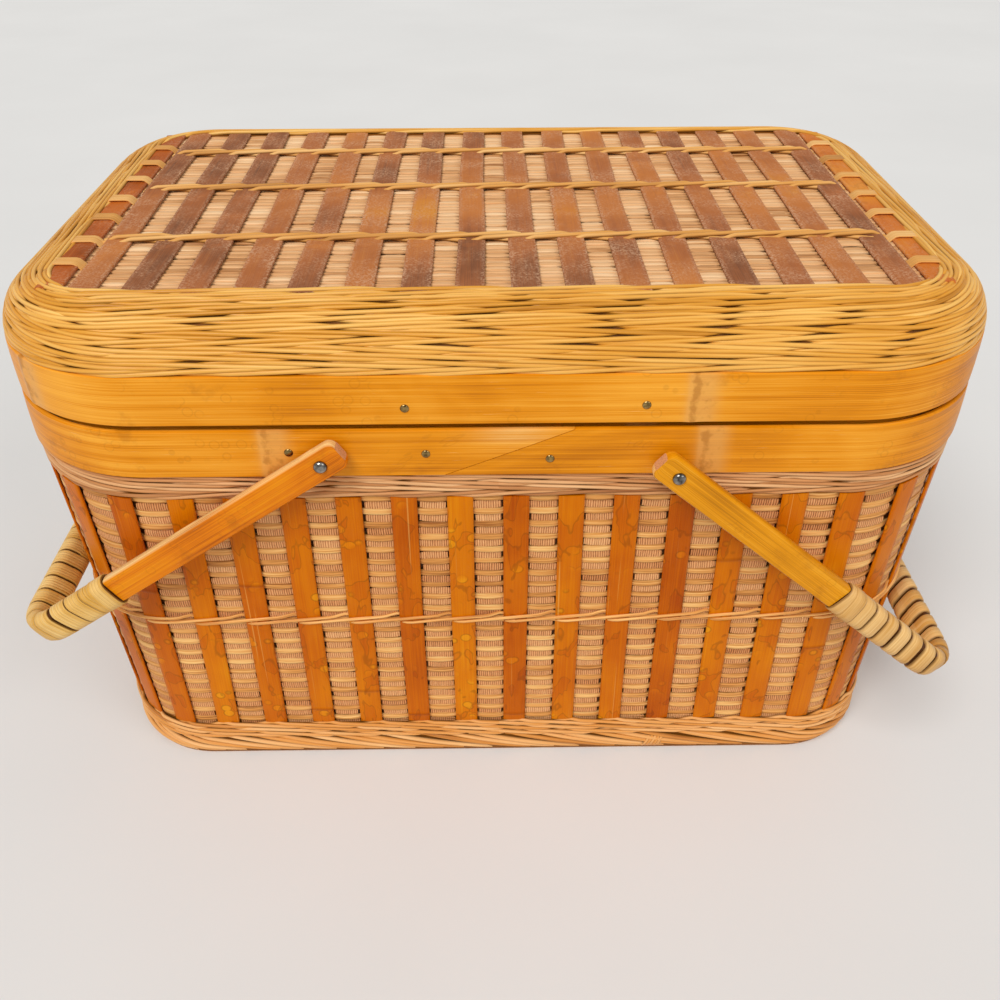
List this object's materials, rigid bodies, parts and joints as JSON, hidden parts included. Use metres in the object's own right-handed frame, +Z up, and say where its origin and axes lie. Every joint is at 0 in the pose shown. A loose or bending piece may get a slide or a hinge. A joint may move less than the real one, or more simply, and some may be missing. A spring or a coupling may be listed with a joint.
{
  "type": "picnic basket",
  "caption": "Woven cane and bamboo picnic basket with slatted walls, bent rim hoops, a hinged lid and swinging handles with wrapped grips.",
  "frame": {"origin": "on the floor under the middle of the basket's rim", "axes": "+X along the basket's length, towards the right end seen from the front; +Y towards the lid's hinged back edge; +Z up"},
  "size_m": [0.4823, 0.3172, 0.2889],
  "materials": {
    "straw_weave": "woven straw-coloured splints, dry and satin",
    "stained_slats": "glossy amber and red-brown stained bamboo slats with blotchy water marks",
    "weathered_slats": "worn and dusty brown slats",
    "honey_cane": "honey-coloured twined cane, satin",
    "tan_cane": "tan twined cane, satin",
    "amber_bamboo": "varnished amber bamboo with fine lengthwise grain",
    "cane_wrap": "pale yellow flat cane, satin",
    "steel": "dull domed steel",
    "dark_brass": "darkened brass nail heads"
  },
  "bodies": {
    "basket": {"base_panel": "straw_weave", "body_wall": "straw_weave", "wall_slats": "stained_slats", "foot_border": "honey_cane", "collar_weave": "tan_cane", "body_outer_hoop": "amber_bamboo", "body_inner_hoop": "amber_bamboo", "left_front_rivet": "steel", "left_rear_rivet": "steel", "right_front_rivet": "steel", "right_rear_rivet": "steel", "body_front_nail_1": "dark_brass", "body_front_nail_2": "dark_brass", "body_front_nail_3": "dark_brass", "body_rear_nail_1": "dark_brass", "body_rear_nail_2": "dark_brass"},
    "lid": {"lid_panel": "straw_weave", "lid_border": "honey_cane", "lid_outer_hoop": "amber_bamboo", "lid_inner_hoop": "amber_bamboo", "lid_slat_01": "weathered_slats", "lid_slat_02": "weathered_slats", "lid_slat_03": "weathered_slats", "lid_slat_04": "weathered_slats", "lid_slat_05": "weathered_slats", "lid_slat_06": "weathered_slats", "lid_slat_07": "weathered_slats", "lid_slat_08": "weathered_slats", "lid_slat_09": "weathered_slats", "lid_slat_10": "weathered_slats", "lid_slat_11": "weathered_slats", "lid_slat_12": "weathered_slats", "lid_slat_13": "weathered_slats", "lid_slat_14": "weathered_slats", "lid_slat_15": "weathered_slats", "lid_slat_16": "weathered_slats", "lid_slat_17": "weathered_slats", "lid_slat_18": "weathered_slats", "lid_twine_front": "honey_cane", "lid_twine_middle": "honey_cane", "lid_twine_back": "honey_cane", "lid_front_nail_1": "dark_brass", "lid_front_nail_2": "dark_brass", "lid_rear_nail_1": "dark_brass", "lid_rear_nail_2": "dark_brass"},
    "left_handle": {"left_handle_bow": "amber_bamboo", "left_handle_wrap": "cane_wrap"},
    "right_handle": {"right_handle_bow": "amber_bamboo", "right_handle_wrap": "cane_wrap"},
    "left_ring": {"left_hinge_ring": "steel"},
    "right_ring": {"right_hinge_ring": "steel"}
  },
  "joints": [
    {"name": "lid_hinge", "type": "hinge", "parent": "basket", "child": "lid", "pos_m": [0, 0.147, 0.2355], "axis": [1, 0, 0], "range_deg": [-100, 0]},
    {"name": "left_handle_swing", "type": "hinge", "parent": "basket", "child": "left_handle", "pos_m": [-0.078, 0, 0.2215], "axis": [0, 1, 0], "range_deg": [0, 144]},
    {"name": "right_handle_swing", "type": "hinge", "parent": "basket", "child": "right_handle", "pos_m": [0.08, 0, 0.2135], "axis": [0, -1, 0], "range_deg": [0, 150]},
    {"name": "left_ring_turn", "type": "hinge", "parent": "basket", "child": "left_ring", "pos_m": [-0.048, 0.147, 0.2355], "axis": [1, 0, 0], "continuous": true},
    {"name": "right_ring_turn", "type": "hinge", "parent": "basket", "child": "right_ring", "pos_m": [0.048, 0.147, 0.2355], "axis": [1, 0, 0], "continuous": true}
  ]
}
